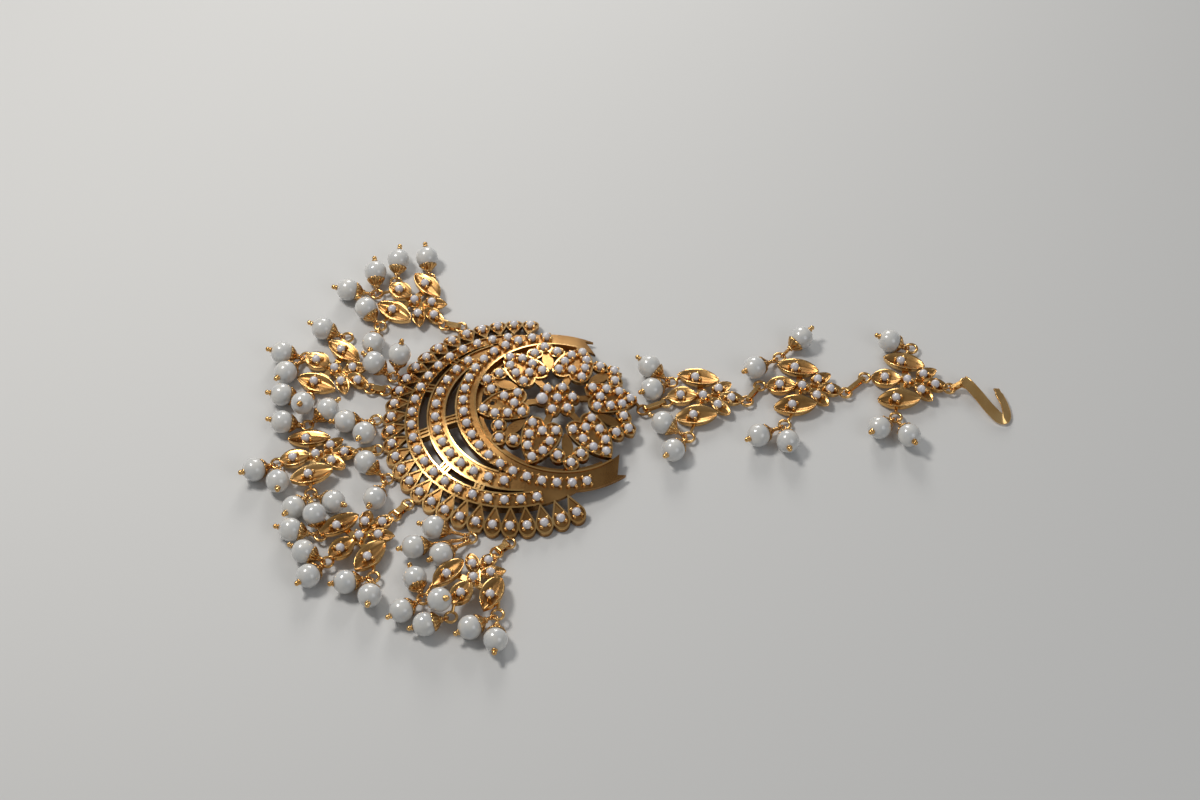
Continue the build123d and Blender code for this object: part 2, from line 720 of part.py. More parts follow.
def drop_pin(drop):
    place, eye, way, side = drop_axes(drop)
    reach = (place - eye).length - eye_radius
    cap_inner = drop_radius + cap_gap
    cap_outer = cap_inner + cap_wall
    neck = -((cap_outer**2 - neck_radius**2) ** 0.5)
    seat = -((cap_inner**2 - pin_radius**2) ** 0.5)
    shoulder = ball_middle - (ball_radius**2 - wrap_radius**2) ** 0.5
    with BuildPart() as pin:
        with BuildSketch(Plane(origin=place, x_dir=side, z_dir=side.cross(way))):
            with BuildLine():
                Polyline((0, -reach), (wrap_radius, -reach), (wrap_radius, neck - 0.2), (neck_radius, neck))
                ThreePointArc(
                    (neck_radius, neck),
                    polar(cap_outer, cap_edge_angle / 2 - 80),
                    polar(cap_outer, cap_edge_angle - 90),
                )
                Line(polar(cap_outer, cap_edge_angle - 90), polar(cap_inner, cap_edge_angle - 90))
                ThreePointArc(
                    polar(cap_inner, cap_edge_angle - 90),
                    polar(cap_inner, cap_edge_angle / 2 - 90),
                    (pin_radius, seat),
                )
                Polyline(
                    (pin_radius, seat),
                    (pin_radius, cap_inner),
                    (collar_radius, cap_inner),
                    (collar_radius, collar_top),
                    (wrap_radius, shoulder),
                )
                ThreePointArc((wrap_radius, shoulder), (ball_radius, ball_middle), (0, ball_middle + ball_radius))
                Line((0, ball_middle + ball_radius), (0, -reach))
            make_face()
        revolve(axis=Axis(place, way))
        with Locations(Plane(origin=eye, z_dir=side).location):
            Torus(eye_radius, eye_wire)
    return pin.part


single_groups = ["chain_3", "fringe_left"]
groups = {}
for drop in drops:
    groups.setdefault(drop[0], []).append(drop)
for group, members in groups.items():
    if group in single_groups:
        for number, drop in enumerate(members, 1):
            write(drop_pearl(drop), group + "_drop_pearl_" + str(number))
            write(drop_pin(drop), group + "_drop_pin_" + str(number))
    else:
        with BuildPart() as group_pearls:
            for drop in members:
                add(drop_pearl(drop))
        with BuildPart() as group_pins:
            for drop in members:
                add(drop_pin(drop))
        write(group_pearls.part, group + "_drop_pearls")
        write(group_pins.part, group + "_drop_pins")
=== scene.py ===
import json
import math

import bmesh
import bpy
import numpy as np
from mathutils import Matrix, Vector


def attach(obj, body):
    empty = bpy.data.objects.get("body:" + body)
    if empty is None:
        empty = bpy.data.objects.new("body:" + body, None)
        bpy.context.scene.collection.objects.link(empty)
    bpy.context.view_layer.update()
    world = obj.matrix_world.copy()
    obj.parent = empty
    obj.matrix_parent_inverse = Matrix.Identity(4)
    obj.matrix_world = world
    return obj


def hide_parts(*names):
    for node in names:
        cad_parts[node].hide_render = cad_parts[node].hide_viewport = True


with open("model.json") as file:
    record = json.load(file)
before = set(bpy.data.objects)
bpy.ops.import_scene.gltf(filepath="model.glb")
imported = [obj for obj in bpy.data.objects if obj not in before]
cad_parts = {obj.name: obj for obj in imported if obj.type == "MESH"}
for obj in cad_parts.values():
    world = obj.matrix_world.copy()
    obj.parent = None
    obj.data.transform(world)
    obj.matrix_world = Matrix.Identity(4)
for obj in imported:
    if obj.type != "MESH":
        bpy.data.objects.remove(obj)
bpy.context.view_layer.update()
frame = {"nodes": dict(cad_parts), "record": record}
nodes = frame["nodes"]
mm = 0.001  # lengths in the settings are in mm

bpy.context.scene.view_settings.view_transform = "Standard"

# Camera and lamps
view = {
    "aim": (-3.2, 5.5, 0.0),
    "distance": 500.0,
    "azimuth": -10.0,
    "elevation": 52.43,
    "roll": -1.05,
    "lens": 69.0,
}


def makeCamera(v):
    # The camera stands on a sphere about its aim: azimuth turns it round +Z, elevation lifts it
    a, e = math.radians(v["azimuth"]), math.radians(v["elevation"])
    back = Vector((math.sin(a) * math.cos(e), -math.cos(a) * math.cos(e), math.sin(e)))
    data = bpy.data.cameras.new("camera")
    data.lens = v["lens"]
    data.sensor_width = 36.0
    data.clip_start = 0.01
    data.clip_end = 20.0
    camera = bpy.data.objects.new("camera", data)
    bpy.context.scene.collection.objects.link(camera)
    camera.location = (Vector(v["aim"]) + back * v["distance"]) * mm
    turn = back.to_track_quat("Z", "Y").to_matrix().to_4x4()
    camera.rotation_euler = (turn @ Matrix.Rotation(math.radians(v["roll"]), 4, "Z")).to_euler()
    bpy.context.scene.camera = camera


makeCamera(view)

lamps = {
    # name: (place in mm, aim in mm, size in mm, power in W, colour)
    "key": ((-220, 160, 420), (-20, 0, 0), 120, 1.25, (1.0, 0.97, 0.93)),
    "fill": ((260, -320, 320), (0, 0, 0), 300, 0.35, (0.95, 0.97, 1.0)),
    "rim": ((60, 380, 200), (0, 0, 0), 160, 0.55, (1.0, 0.98, 0.95)),
}


def makeLamp(name, place, aim, size, power, colour):
    data = bpy.data.lights.new(name, "AREA")
    data.shape = "DISK"
    data.size = size * mm
    data.energy = power
    data.color = colour
    lamp = bpy.data.objects.new(name, data)
    bpy.context.scene.collection.objects.link(lamp)
    lamp.location = Vector(place) * mm
    lamp.rotation_euler = (Vector(place) - Vector(aim)).to_track_quat("Z", "Y").to_euler()


for lampName, setting in lamps.items():
    makeLamp(lampName, *setting)


# Shader helpers
class Field:
    # A shader value: arithmetic on it adds Math nodes
    def __init__(self, tree, socket):
        self.tree = tree
        self.socket = socket

    def math(self, operation, *others, swap=False):
        n = self.tree.nodes.new("ShaderNodeMath")
        n.operation = operation
        terms = [self, *others]
        if swap:
            terms.reverse()
        for i, term in enumerate(terms):
            if isinstance(term, Field):
                self.tree.links.new(term.socket, n.inputs[i])
            else:
                n.inputs[i].default_value = term
        return Field(self.tree, n.outputs[0])

    def __add__(self, other):
        return self.math("ADD", other)

    __radd__ = __add__

    def __mul__(self, other):
        return self.math("MULTIPLY", other)

    __rmul__ = __mul__

    def __sub__(self, other):
        return self.math("SUBTRACT", other)

    def __rsub__(self, other):
        return self.math("SUBTRACT", other, swap=True)


class Finish:
    # One material: nodes are added by type, settings first, then values or links of the sockets
    def __init__(self, name):
        self.material = bpy.data.materials.new(name)
        self.material.use_nodes = True
        self.tree = self.material.node_tree
        self.shader = self.tree.nodes["Principled BSDF"]
        self.coords = self.add("ShaderNodeTexCoord", output="Object")

    def add(self, kind, settings=None, output=0, **sockets):
        n = self.tree.nodes.new(kind)
        for key, value in (settings or {}).items():
            setattr(n, key, value)
        for key, value in sockets.items():
            self.feed(n.inputs[key.replace("_", " ")], value)
        return Field(self.tree, n.outputs[output])

    def feed(self, socket, value):
        if isinstance(value, Field):
            self.tree.links.new(value.socket, socket)
        else:
            socket.default_value = value

    def noise(self, scale, detail):
        return self.add("ShaderNodeTexNoise", Vector=self.coords, Scale=scale, Detail=detail)

    def steps(self, field, low, high, toLow=0.0, toHigh=1.0):
        n = self.tree.nodes.new("ShaderNodeMapRange")
        n.clamp = True
        self.feed(n.inputs["Value"], field)
        limits = {"From Min": low, "From Max": high, "To Min": toLow, "To Max": toHigh}
        for key, value in limits.items():
            n.inputs[key].default_value = value
        return Field(self.tree, n.outputs["Result"])

    def mix(self, factor, first, second):
        n = self.tree.nodes.new("ShaderNodeMix")
        n.data_type = "RGBA"
        self.feed(n.inputs[0], factor)
        self.feed(n.inputs[6], first)
        self.feed(n.inputs[7], second)
        return Field(self.tree, n.outputs[2])

    def bump(self, height, strength, distance):
        return self.add("ShaderNodeBump", Height=height, Strength=strength, Distance=distance)

    def set(self, **sockets):
        for key, value in sockets.items():
            self.feed(self.shader.inputs[key.replace("_", " ")], value)


# The medallion's sheet lies on a ball about this middle, and its raised edges stand over it; the
# low sheet gets painted shade
medallionDome = {"middle": (-22.22, 1.43, -58.85), "sheet": 66.5, "edge": 66.74}

goldSettings = {
    "low": (0.70, 0.39, 0.125),
    "high": (0.86, 0.56, 0.235),
    "shadeLow": (0.30, 0.145, 0.045, 1),
    "shadeHigh": (0.46, 0.255, 0.09, 1),
    "clouds": 140.0,
    "specks": 2600.0,
    "roughness": (0.14, 0.26),
    "dulling": 0.12,
    "bump": (0.12, 0.00006),
}


def goldFinish(name, dome=None, bright=1.0, levels=False):
    # Polished gold, clouded by wear; on a dome the low sheet takes painted shade, browner and
    # duller than its edges, and so do points of low level
    g = goldSettings
    f = Finish(name)
    cloud = f.noise(g["clouds"], 3.0)
    fine = f.noise(g["specks"], 2.0)
    # bright scales both gold colours; above one it paints a highlight
    low, high = (tuple(c * bright for c in g[key]) + (1,) for key in ("low", "high"))
    colour = f.mix(f.steps(cloud, 0.35, 0.7), low, high)
    roughness = f.steps(cloud * 0.5 + fine * 0.5, 0.35, 0.65, *g["roughness"])
    level = None
    if levels:
        level = f.add("ShaderNodeAttribute", {"attribute_name": "level"}, output="Fac")
    # Painted shade: on the dome, the sheet lying lower than the raised edges is mixed toward the
    # browner shade colours
    if dome:
        middle = tuple(c * mm for c in dome["middle"])
        offset = f.add("ShaderNodeVectorMath", {"operation": "SUBTRACT"}, Vector=f.coords)
        offset.socket.node.inputs[1].default_value = middle
        length = {"operation": "LENGTH"}
        reach = f.add("ShaderNodeVectorMath", length, output="Value", Vector=offset)
        level = f.steps(reach, dome["sheet"] * mm, dome["edge"] * mm)
    if level:
        shade = f.mix(f.steps(cloud, 0.3, 0.7), g["shadeLow"], g["shadeHigh"])
        colour = f.mix(level, shade, colour)
        roughness = roughness + (1.0 - level) * g["dulling"]
    relief = f.bump(fine + cloud, *g["bump"])
    f.set(Base_Color=colour, Metallic=1.0, Roughness=roughness, Normal=relief)
    return f.material


pearlSettings = {
    "low": (0.56, 0.57, 0.57, 1),
    "high": (0.70, 0.68, 0.63, 1),
    "clouds": 420.0,
    "specks": 3000.0,
    "roughness": (0.16, 0.28),
    "coat": (0.8, 0.16),
    "specular": 0.7,
    "bump": (0.05, 0.00004),
}


def pearlFinish(p):
    # Lustrous pearl: soft clouds of two greys under a clear coat
    f = Finish("dropPearl")
    cloud = f.noise(p["clouds"], 3.0)
    fine = f.noise(p["specks"], 2.0)
    f.set(
        Base_Color=f.mix(f.steps(cloud, 0.3, 0.7), p["low"], p["high"]),
        Roughness=f.steps(fine, 0.3, 0.7, *p["roughness"]),
        Coat_Weight=p["coat"][0],
        Coat_Roughness=p["coat"][1],
        Specular_IOR_Level=p["specular"],
        Normal=f.bump(fine, *p["bump"]),
    )
    return f.material


seedFinishSettings = {
    "low": (0.56, 0.55, 0.60, 1),
    "high": (0.74, 0.70, 0.69, 1),
    "clouds": 900.0,
    "roughness": (0.14, 0.24),
    "coat": (0.8, 0.05),
    "specular": 0.7,
}


def seedFinish(p):
    # The small pearls are pinker and smoother than the drops
    f = Finish("seedPearl")
    cloud = f.noise(p["clouds"], 2.0)
    f.set(
        Base_Color=f.mix(f.steps(cloud, 0.35, 0.65), p["low"], p["high"]),
        Roughness=f.steps(cloud, 0.3, 0.7, *p["roughness"]),
        Coat_Weight=p["coat"][0],
        Coat_Roughness=p["coat"][1],
        Specular_IOR_Level=p["specular"],
    )
    return f.material


gold = goldFinish("polishedGold")
sheetGold = goldFinish("medallionGold", medallionDome)
# The grains take a lighter copy of the gold: painted highlight
grainGold = goldFinish("grainGold", bright=1.15)
# Gold with painted shade where the level attribute is low: flute grooves and leaf hollows
paintedShadeGold = goldFinish("paintedShadeGold", levels=True)
dropPearl = pearlFinish(pearlSettings)
seedPearl = seedFinish(seedFinishSettings)
slots = {"gold": gold, "pearl": dropPearl, "seed_pearl": seedPearl}
slotOf = {s["node"]: s["material_slot"] for s in frame["record"]["subparts"]}
for nodeName, node in nodes.items():
    node.data.materials.clear()
    node.data.materials.append(slots[slotOf[nodeName]])
# The crescent and the rosette take the gold with painted shade on their low sheet
for nodeName in ("crescent_frame", "rosette"):
    nodes[nodeName].data.materials[0] = sheetGold
print("materials ready")


# Mesh helpers
def meshPiece(name, verts, blocks, material):
    # Blocks are arrays of faces, each with its own count of corners; normals are turned outward
    data = bpy.data.meshes.new(name)
    faces = [face for block in blocks for face in block.tolist()]
    data.from_pydata(np.asarray(verts).tolist(), [], faces)
    work = bmesh.new()
    work.from_mesh(data)
    bmesh.ops.recalc_face_normals(work, faces=work.faces)
    work.to_mesh(data)
    work.free()
    data.materials.append(material)
    data.polygons.foreach_set("use_smooth", np.ones(len(data.polygons), dtype=bool))
    piece = bpy.data.objects.new(name, data)
    bpy.context.scene.collection.objects.link(piece)
    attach(piece, "root")
    return piece


def islands(node):
    # The node's loose solids: vertices at one place are joined, then joined through the faces
    m = node.data
    co = np.empty(len(m.vertices) * 3)
    m.vertices.foreach_get("co", co)
    co = co.reshape(-1, 3)
    keys = np.round(co / 1e-6).astype(np.int64)
    _, place = np.unique(keys, axis=0, return_inverse=True)
    place = place.reshape(-1)
    m.calc_loop_triangles()
    tri = np.empty(len(m.loop_triangles) * 3, dtype=np.int32)
    m.loop_triangles.foreach_get("vertices", tri)
    tri = place[tri.reshape(-1, 3)]
    label = np.arange(place.max() + 1)
    while True:
        low = label[tri].min(axis=1)
        before = label.copy()
        for corner in tri.T:
            np.minimum.at(label, corner, low)
        label = label[label]
        if (label == before).all():
            break
    return [co[label[place] == v] for v in np.unique(label[place])]


def gridFaces(rows, columns, closedRows=False, closedColumns=False):
    # Quads between neighbours of a rows x columns grid, round the end where it is closed
    i, j = np.meshgrid(
        np.arange(rows if closedRows else rows - 1),
        np.arange(columns if closedColumns else columns - 1),
        indexing="ij",
    )
    i, j = i.ravel(), j.ravel()
    k, m = (i + 1) % rows, (j + 1) % columns
    return np.stack([i * columns + j, k * columns + j, k * columns + m, i * columns + m], axis=1)


def ballGrid(rings, sides):
    # Unit ball: rings of latitude times sides of longitude, closed by a point at each pole
    t = np.pi * np.arange(1, rings)[:, None] / rings
    p = 2 * np.pi * np.arange(sides)[None] / sides
    body = np.stack([np.sin(t) * np.cos(p), np.sin(t) * np.sin(p), np.cos(t) + 0 * p], axis=-1)
    verts = np.vstack([[0, 0, 1], body.reshape(-1, 3), [0, 0, -1]])
    quads = gridFaces(rings - 1, sides, closedColumns=True) + 1
    j = np.arange(sides)
    k = (j + 1) % sides
    last = 1 + (rings - 2) * sides
    top = np.stack([0 * j, 1 + j, 1 + k], axis=1)
    bottom = np.stack([0 * j + last + sides, last + k, last + j], axis=1)
    return verts, np.vstack([top, bottom, quads[:, [0, 1, 2]], quads[:, [0, 2, 3]]])


def copies(verts, faces, places, scales):
    # One mesh of many copies: each place adds its shift, each scale its size
    scales = np.broadcast_to(np.asarray(scales, float), len(places))
    moved = verts[None] * scales[:, None, None] + np.asarray(places)[:, None]
    shifted = faces[None] + len(verts) * np.arange(len(places))[:, None, None]
    return moved.reshape(-1, 3), [shifted.reshape(-1, faces.shape[1])]


class Shape:
    # Grids gathered into one mesh; level says how near a point is to a bright edge, and low level
    # takes painted shade
    def __init__(self):
        self.verts = []
        self.blocks = []
        self.levels = []
        self.count = 0

    def add(self, verts, blocks, level=1.0):
        self.verts.append(verts)
        self.blocks += [block + self.count for block in blocks]
        self.levels.append(np.broadcast_to(level, len(verts)))
        self.count += len(verts)

    def piece(self, name, material):
        piece = meshPiece(name, np.vstack(self.verts), self.blocks, material)
        level = piece.data.attributes.new("level", "FLOAT", "POINT")
        level.data.foreach_set("value", np.concatenate(self.levels))
        return piece


def axesAbout(way):
    # Unit vectors square to way, the first one level, and way at length one
    way = way / np.linalg.norm(way)
    side = np.cross(way, [0, 0, 1.0])
    side /= np.linalg.norm(side)
    return side, np.cross(side, way), way


def ends(rows, columns):
    # The first and the last row of a grid, as two polygons that close it
    return [np.arange(columns)[None], np.arange(columns)[None] + (rows - 1) * columns]


def turned(radius, height, sides, place, way, wave=0.0, closed=False):
    # Profile turned about way: point = place + radius (cos a side + sin a up) + height way
    side, up, way = axesAbout(way)
    a = 2 * np.pi * np.arange(sides) / sides
    r = np.asarray(radius, float)[:, None] + np.zeros(sides) + wave
    h = np.asarray(height, float)[:, None] + np.zeros(sides)
    ring = np.cos(a)[None, :, None] * side + np.sin(a)[None, :, None] * up
    points = np.asarray(place) + r[..., None] * ring + h[..., None] * way
    blocks = [gridFaces(len(radius), sides, closedRows=closed, closedColumns=True)]
    return points.reshape(-1, 3), blocks if closed else blocks + ends(len(radius), sides)


def tube(path, side, radius, sides):
    # Round wire along an open path; side is a vector square to the path at each of its points
    way = np.gradient(path, axis=0)
    up = np.cross(way, side)
    up /= np.linalg.norm(up, axis=1)[:, None]
    a = 2 * np.pi * np.arange(sides) / sides
    ring = np.cos(a)[None, :, None] * side[:, None] + np.sin(a)[None, :, None] * up[:, None]
    points = path[:, None] + radius * ring
    rows = len(path)
    blocks = [gridFaces(rows, sides, closedColumns=True)] + ends(rows, sides)
    return points.reshape(-1, 3), blocks


# Medallion: set seed pearls and the grains that hold them
seedSettings = {
    "rings": 12,
    "sides": 20,
    "grain": 0.44,
    "grainFaces": (5, 8),
    "reach": 1.25,
    "sinks": (0.05, 0.42),
}


def seedBalls(nodeName):
    # Each seed pearl is a ball about the middle of its solid, as wide as its longest side
    found = islands(nodes[nodeName])
    centres = np.array([(p.min(0) + p.max(0)) / 2 for p in found])
    radii = np.array([(p.max(0) - p.min(0)).max() / 2 for p in found])
    v, f = ballGrid(seedSettings["rings"], seedSettings["sides"])
    piece = meshPiece(nodeName + "_smooth", *copies(v, f, centres, radii), seedPearl)
    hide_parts(nodeName)
    return centres, radii


def grainPlaces(centres, radii, outward):
    # Four grains square about each pearl, halfway between the way to its nearest neighbour and
    # the way across, each on a stub that stands in the sheet
    gaps = np.linalg.norm(centres[:, None] - centres[None], axis=2)
    np.fill_diagonal(gaps, 9.0)
    along = centres[gaps.argmin(axis=1)] - centres
    along -= outward * (along * outward).sum(axis=1)[:, None]
    along /= np.linalg.norm(along, axis=1)[:, None]
    across = np.cross(outward, along)
    places = []
    for turn in (45, 135, 225, 315):
        t = math.radians(turn)
        step = (math.cos(t) * along + math.sin(t) * across) * radii[:, None] * seedSettings["reach"]
        places += [centres + step - outward * sink * mm for sink in seedSettings["sinks"]]
    return np.vstack(places)


def grains(name, places):
    # A grain is a small ball of few faces
    v, f = ballGrid(*seedSettings["grainFaces"])
    piece = meshPiece(name, *copies(v, f, places, seedSettings["grain"] * mm), grainGold)


seedNodes = [n for n in nodes if slotOf[n] == "seed_pearl"]
domeMiddle = np.array(medallionDome["middle"]) * mm
for seedNode in seedNodes:
    centres, radii = seedBalls(seedNode)
    if len(centres) > 1:
        outward = centres - domeMiddle
        outward /= np.linalg.norm(outward, axis=1)[:, None]
        grains(seedNode + "_grains", grainPlaces(centres, radii, outward))
print("medallion pearls and grains")

# Drops: smooth pearls, fluted caps, wrapped wire, eyes and ball ends
dropSettings = {
    "rings": 24,
    "sides": 40,
    "radius": 2.49,
    # radius, and height as a share of the way from the neck to the edge
    "capProfile": [
        (0.10, 0.0),
        (0.42, 0.0),
        (0.60, 0.04),
        (0.64, 0.12),
        (0.52, 0.20),
        (0.74, 0.30),
        (1.10, 0.45),
        (1.42, 0.62),
        (1.68, 0.80),
        (1.86, 1.0),
        (1.78, 1.03),
    ],
    "capInner": 2.56,
    "capEdge": -1.78,
    "neckReach": 3.9,
    "flute": 0.26,
    "flutes": 12,
    "wire": 0.14,
    "wrap": 0.30,
    "pitch": 0.30,
    "core": 0.2,
    "eye": 0.65,
    "eyeWire": 0.19,
    "eyeFaces": (28, 10),
    "near": (2.55, 3.0),
    "eyeReach": 1.7,
    # radius and height of each ring of the ball end
    "ballEnd": [
        (0.4, 2.5),
        (0.6, 2.53),
        (0.66, 2.62),
        (0.6, 2.74),
        (0.42, 2.8),
        (0.38, 2.9),
        (0.50, 3.02),
        (0.55, 3.2),
        (0.50, 3.42),
        (0.34, 3.62),
        (0.08, 3.74),
    ],
}


def smoothPearls(nodeName):
    # Each drop pearl is a ball about the middle of its solid
    found = islands(nodes[nodeName])
    centres = np.array([(p.min(0) + p.max(0)) / 2 for p in found])
    v, f = ballGrid(dropSettings["rings"], dropSettings["sides"])
    radius = dropSettings["radius"] * mm
    piece = meshPiece(nodeName + "_smooth", *copies(v, f, centres, radius), dropPearl)
    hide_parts(nodeName)
    return centres


def dropFittings(shape, pearl, way, length):
    d = dropSettings
    side, up, way = axesAbout(way)
    sides = d["flutes"] * 5
    # Tulip cap: its profile widens from the neck to the edge, then goes back inside along the pearl
    neck = -min(d["neckReach"], length / mm - 0.5)
    outer = np.array(d["capProfile"])
    outer[:, 1] = neck + outer[:, 1] * (d["capEdge"] - neck)
    t = np.arccos(-d["capEdge"] / d["capInner"]) * np.linspace(1, 0.18, 6)
    inner = np.stack([d["capInner"] * np.sin(t), -d["capInner"] * np.cos(t)], axis=1)
    profile = np.vstack([outer, inner]) * mm
    # Flutes: the outside swells by a cosine wave round the cap, more toward its edge
    swell = np.concatenate([np.linspace(0.1, 1, len(outer)), np.zeros(len(inner))])[:, None]
    a = 2 * np.pi * np.arange(sides) / sides
    ridge = (0.5 + 0.5 * np.cos(d["flutes"] * a)) ** 0.8
    wave = d["flute"] * mm * swell * ridge
    # The grooves between the flutes take painted shade: the browner, duller colour
    level = 1 - np.minimum(1.6 * swell, 1) * (1 - ridge)
    cap = turned(profile[:, 0], profile[:, 1], sides, pearl, way, wave, closed=True)
    shape.add(*cap, level.ravel())
    # Wrapped wire: a helix about the pin from the cap to the eye, over a thin core
    start, stop = neck + 0.1, -length / mm + d["eye"] * 0.9
    turns = max(1.2, (start - stop) / d["pitch"])
    u = np.linspace(0, 1, int(turns * 12) + 2)[:, None]
    b = 2 * np.pi * turns * u
    out = np.cos(b) * side + np.sin(b) * up
    path = pearl + out * d["wrap"] * mm + (start + (stop - start) * u) * way * mm
    shape.add(*tube(path, out, d["wire"] * mm, 6))
    core = pearl + np.linspace(start, stop - 0.1, 3)[:, None] * way * mm
    shape.add(*tube(core, np.tile(side, (3, 1)), d["core"] * mm, 8))
    # Eye: a ring of wire in an upright plane through the pin
    eyeMiddle = pearl - way * length
    around, across = d["eyeFaces"]
    c = 2 * np.pi * np.arange(around)[:, None] / around
    out = np.cos(c) * way + np.sin(c) * up
    e = 2 * np.pi * np.arange(across)[None, :, None] / across
    ring = eyeMiddle + d["eye"] * mm * out[:, None]
    ring = ring + d["eyeWire"] * mm * (np.cos(e) * out[:, None] + np.sin(e) * side)
    shape.add(ring.reshape(-1, 3), [gridFaces(around, across, True, True)])
    # Ball end over a small collar
    radius, height = np.array(d["ballEnd"]).T
    shape.add(*turned(radius * mm, height * mm, 20, pearl, way))


def fittings(pinNode, pearls):
    # A pin belongs to the pearl that most of its points lie just outside of; its far end is its eye
    d = dropSettings
    shape = Shape()
    for points in islands(nodes[pinNode]):
        gaps = np.linalg.norm(points[None] - pearls[:, None], axis=2) / mm
        own = ((gaps > d["near"][0]) & (gaps < d["near"][1])).sum(axis=1).argmax()
        reach = gaps[own].max()
        eye = points[gaps[own] > reach - d["eyeReach"]].mean(axis=0)
        length = (reach - d["eye"] - 0.2) * mm
        dropFittings(shape, pearls[own], pearls[own] - eye, length)
    piece = shape.piece(pinNode + "_fittings", paintedShadeGold)
    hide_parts(pinNode)


dropPearls = {n: smoothPearls(n) for n in nodes if slotOf[n] == "pearl"}
for pearlNode, pearlMiddles in dropPearls.items():
    fittings(pearlNode.replace("drop_pearl", "drop_pin"), pearlMiddles)
print("drops:", sum(len(c) for c in dropPearls.values()))

# Leaf stampings: curled leaves, ribs and set pearls laid over each plate
leafSettings = {
    "dome": 45.0,
    "thickness": 0.22,
    "wall": 0.25,
    "ribs": 0.06,
    "rows": 21,
    "columns": 13,
    "seedRadius": 0.95,
    "seedLift": 0.72,
}
leafPlates = [
    # x, y, height of the middle, then heading of the tip, pitch and roll in degrees
    ("chain_leaf_1", 18.58, 0.53, 1.9, -14.6, 0.0, 0.0),
    ("chain_leaf_2", 40.23, -1.07, 1.9, -16.9, 0.0, 0.0),
    ("chain_leaf_3", 62.98, -3.92, 1.9, -21.0, 0.0, 0.0),
    ("pendant_leaf_1", -38.92, 39.63, 1.9, -53.4, 0.0, 0.0),
    ("pendant_leaf_2", -58.82, 23.83, 1.9, -42.0, 0.0, 0.0),
    ("pendant_leaf_3", -65.52, 1.13, 2.1, -3.0, 0.0, -6.0),
    ("pendant_leaf_4", -59.12, -21.67, 2.45, 31.0, 5.5, 0.5),
    ("pendant_leaf_5", -37.62, -37.07, 3.3, 50.0, 12.0, 0.0),
]
leafSeeds = [
    # u toward the tip and v across the plate
    (6.1, 0.0),
    (3.25, 2.2),
    (3.25, -2.2),
    (0.0, 0.0),
    (-1.9, 5.15),
    (-1.9, -5.15),
    (-4.9, 0.0),
]
leafForms = [
    # middle u, middle v, turn in degrees, length, width, rise of the edges and of the points
    (6.2, 0.0, 0.0, 5.8, 3.2, 0.55, 0.25),
    (3.9, 2.5, 42.0, 5.6, 3.0, 0.50, 0.25),
    (3.9, -2.5, -42.0, 5.6, 3.0, 0.50, 0.25),
    (-1.2, 5.2, -9.0, 9.4, 4.6, 0.85, 0.45),
    (-1.2, -5.2, 9.0, 9.4, 4.6, 0.85, 0.45),
    (-4.6, 0.0, 0.0, 6.6, 4.6, 0.60, 0.35),
]


def plateMatrix(x, y, height, heading, pitch, roll):
    # A plate rolls about its length, pitches about its width, then heads round +Z
    turn = (
        Matrix.Rotation(math.radians(heading), 3, "Z")
        @ Matrix.Rotation(math.radians(pitch), 3, "Y")
        @ Matrix.Rotation(math.radians(roll), 3, "X")
    )
    return np.array(turn), np.array([x, y, height])


def onPlate(place, u, v, lift):
    # Height on the stamping's dome, plus lift, then the plate's turn and place
    turn, shift = place
    z = np.sqrt(leafSettings["dome"] ** 2 - u**2 - v**2) - leafSettings["dome"] + lift
    return (np.stack([u, v, z], axis=-1) @ turn.T + shift) * mm


def curledLeaf(shape, place, form):
    # Boat form over s along and t across the leaf: half width = W/2 (1 - s^2)^0.8,
    # height = edge t^2 (1 - s^2)^0.5 + point s^4 + ribs cos(3 pi t) (1 - s^2)
    mu, mv, turn, length, width, edge, point = form
    rows, columns = leafSettings["rows"], leafSettings["columns"]
    s = np.linspace(-0.995, 0.995, rows)[:, None] * np.ones(columns)
    t = np.ones(rows)[:, None] * np.linspace(-1, 1, columns)
    half = width / 2 * (1 - s**2) ** 0.8
    along, across = s * length / 2, t * half
    lift = edge * t**2 * (1 - s**2) ** 0.5 + point * s**4
    lift += leafSettings["ribs"] * np.cos(np.pi * t * 3) * (1 - s**2)
    a = math.radians(turn)
    u = mu + along * math.cos(a) - across * math.sin(a)
    v = mv + along * math.sin(a) + across * math.cos(a)
    top = onPlate(place, u, v, leafSettings["thickness"] + lift)
    base = onPlate(place, u, v, leafSettings["thickness"] + lift - leafSettings["wall"])
    grid = gridFaces(rows, columns)
    n = rows * columns
    points = np.vstack([top.reshape(-1, 3), base.reshape(-1, 3)])
    index = np.arange(n).reshape(rows, columns)
    rim = np.concatenate([index[0, :], index[1:, -1], index[-1, -2::-1], index[-2:0:-1, 0]])
    follow = np.roll(rim, -1)
    wall = np.stack([rim, rim + n, follow + n, follow], axis=1)
    # Painted shade: the hollow middle of each leaf has low level and takes the browner gold; rims
    # and tips stay bright
    level = np.tile((np.maximum(np.abs(t), s**2) ** 3).ravel(), 2)
    shape.add(points, [grid, grid[:, ::-1] + n, wall], level)


def leafDressing(name, x, y, height, heading, pitch, roll):
    # Six curled leaves, seven set pearls and their grains on one plate
    place = plateMatrix(x, y, height, heading, pitch, roll)
    shape = Shape()
    for form in leafForms:
        curledLeaf(shape, place, form)
    piece = shape.piece(name + "_curls", paintedShadeGold)
    seeds = np.array(leafSeeds)
    centres = onPlate(place, seeds[:, 0], seeds[:, 1], leafSettings["seedLift"])
    outward = np.tile(place[0] @ np.array([0, 0, 1.0]), (len(seeds), 1))
    radii = np.full(len(seeds), leafSettings["seedRadius"] * mm)
    v, f = ballGrid(seedSettings["rings"], seedSettings["sides"])
    pearls = meshPiece(name + "_seeds", *copies(v, f, centres, radii), seedPearl)
    grains(name + "_grains", grainPlaces(centres, radii, outward))


for leafPlate in leafPlates:
    leafDressing(*leafPlate)
print("leaf plates dressed")

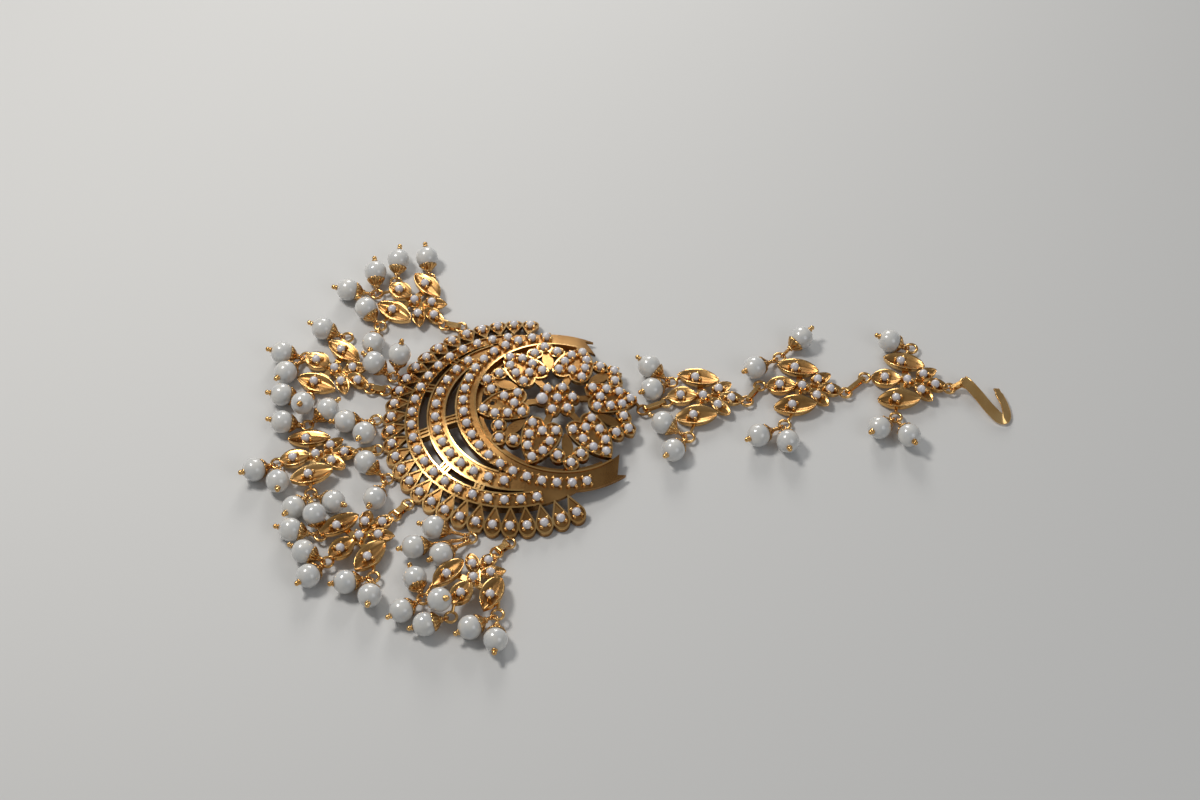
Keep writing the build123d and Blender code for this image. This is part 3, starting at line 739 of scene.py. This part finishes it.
# Hair hook: a flat strip rolled round a smooth J, its ring soldered at the start
hookSettings = {
    "route": [
        (74.6, -7.2, 3.2),
        (75.3, -8.6, 3.45),
        (76.7, -11.6, 3.0),
        (78.2, -14.6, 2.1),
        (79.7, -16.9, 1.35),
        (80.9, -17.5, 1.15),
        (81.75, -16.4, 1.15),
        (82.0, -14.0, 1.2),
        (81.75, -11.5, 1.25),
        (81.5, -9.4, 1.3),
    ],
    "width": 2.3,
    "thickness": 0.42,
    "lean": (42.0, 64.0),
    "tip": 0.7,
    "sides": 24,
    "ring": (75.28, -7.07, 2.0),
    "ringSize": (1.2, 0.3),
    "ringFaces": (40, 12),
}


def smoothRoute(points, steps):
    # Catmull-Rom curve: each run between two points follows the line through their neighbours
    p = np.array(points)
    p = np.vstack([2 * p[0] - p[1], p, 2 * p[-1] - p[-2]])
    t = np.linspace(0, 1, steps, endpoint=False)[None, :, None]
    a, b, c, d = p[:-3, None], p[1:-2, None], p[2:-1, None], p[3:, None]
    run = 2 * b + (c - a) * t + (2 * a - 5 * b + 4 * c - d) * t**2 + (3 * b - a - 3 * c + d) * t**3
    return np.vstack([run.reshape(-1, 3) / 2, p[-2]])


def hairHook():
    # A section carried along the route, and a ring: middle + radius out + wire (cos out + sin up)
    h = hookSettings
    shape = Shape()
    path = smoothRoute(h["route"], 8)
    way = np.gradient(path, axis=0)
    way /= np.linalg.norm(way, axis=1)[:, None]
    across = np.cross(way, [0, 0, 1.0])
    across /= np.linalg.norm(across, axis=1)[:, None]
    # The strip leans over, more toward its tip
    lean = np.radians(np.linspace(*h["lean"], len(path)))[:, None]
    upright = np.cross(across, way)
    wide = np.cos(lean) * upright - np.sin(lean) * across
    across = np.cos(lean) * across + np.sin(lean) * upright
    # Section: a rectangle with rounded edges, x = T/2 cos^0.4 and y = W/2 sin^0.4 with their signs
    a = 2 * np.pi * np.arange(h["sides"]) / h["sides"]
    x = h["thickness"] / 2 * np.sign(np.cos(a)) * np.abs(np.cos(a)) ** 0.4
    y = h["width"] / 2 * np.sign(np.sin(a)) * np.abs(np.sin(a)) ** 0.4
    taper = np.clip((1 - np.linspace(0, 1, len(path)))[:, None] * 12, h["tip"], 1)
    points = path[:, None] + across[:, None] * x[None, :, None]
    points = points + wide[:, None] * (y * taper)[..., None]
    rows = len(path)
    blocks = [gridFaces(rows, h["sides"], closedColumns=True)] + ends(rows, h["sides"])
    shape.add(points.reshape(-1, 3) * mm, blocks)
    around, about = h["ringFaces"]
    c = 2 * np.pi * np.arange(around)[:, None] / around
    out = np.concatenate([np.cos(c), np.sin(c), 0 * c], axis=1)
    e = 2 * np.pi * np.arange(about)[None, :, None] / about
    radius, wire = h["ringSize"]
    ring = np.array(h["ring"]) + radius * out[:, None]
    ring = ring + wire * (np.cos(e) * out[:, None] + np.sin(e) * np.array([0, 0, 1.0]))
    shape.add(ring.reshape(-1, 3) * mm, [gridFaces(around, about, True, True)])
    piece = shape.piece("hair_hook_strip", gold)
    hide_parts("hair_hook")


hairHook()
print("hair hook")

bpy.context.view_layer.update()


# Floor and world
stageSettings = {
    "floor": (0.62, 0.62, 0.61, 1),
    "roughness": 0.7,
    "size": 3.0,
    "sky": (0.9, 0.92, 0.95, 1),
    "skyStrength": 0.25,
}


def floorFinish():
    f = Finish("paleFloor")
    f.set(Base_Color=stageSettings["floor"], Roughness=stageSettings["roughness"])
    return f.material


def makeFloor():
    data = bpy.data.meshes.new("floor")
    s = stageSettings["size"]
    data.from_pydata([(-s, -s, 0), (s, -s, 0), (s, s, 0), (-s, s, 0)], [], [(0, 1, 2, 3)])
    data.materials.append(floorFinish())
    floor = bpy.data.objects.new("floor", data)
    bpy.context.scene.collection.objects.link(floor)


makeFloor()
world = bpy.data.worlds.new("world")
bpy.context.scene.world = world
world.use_nodes = True
background = world.node_tree.nodes["Background"]
background.inputs["Color"].default_value = stageSettings["sky"]
background.inputs["Strength"].default_value = stageSettings["skyStrength"]
print("stage ready")
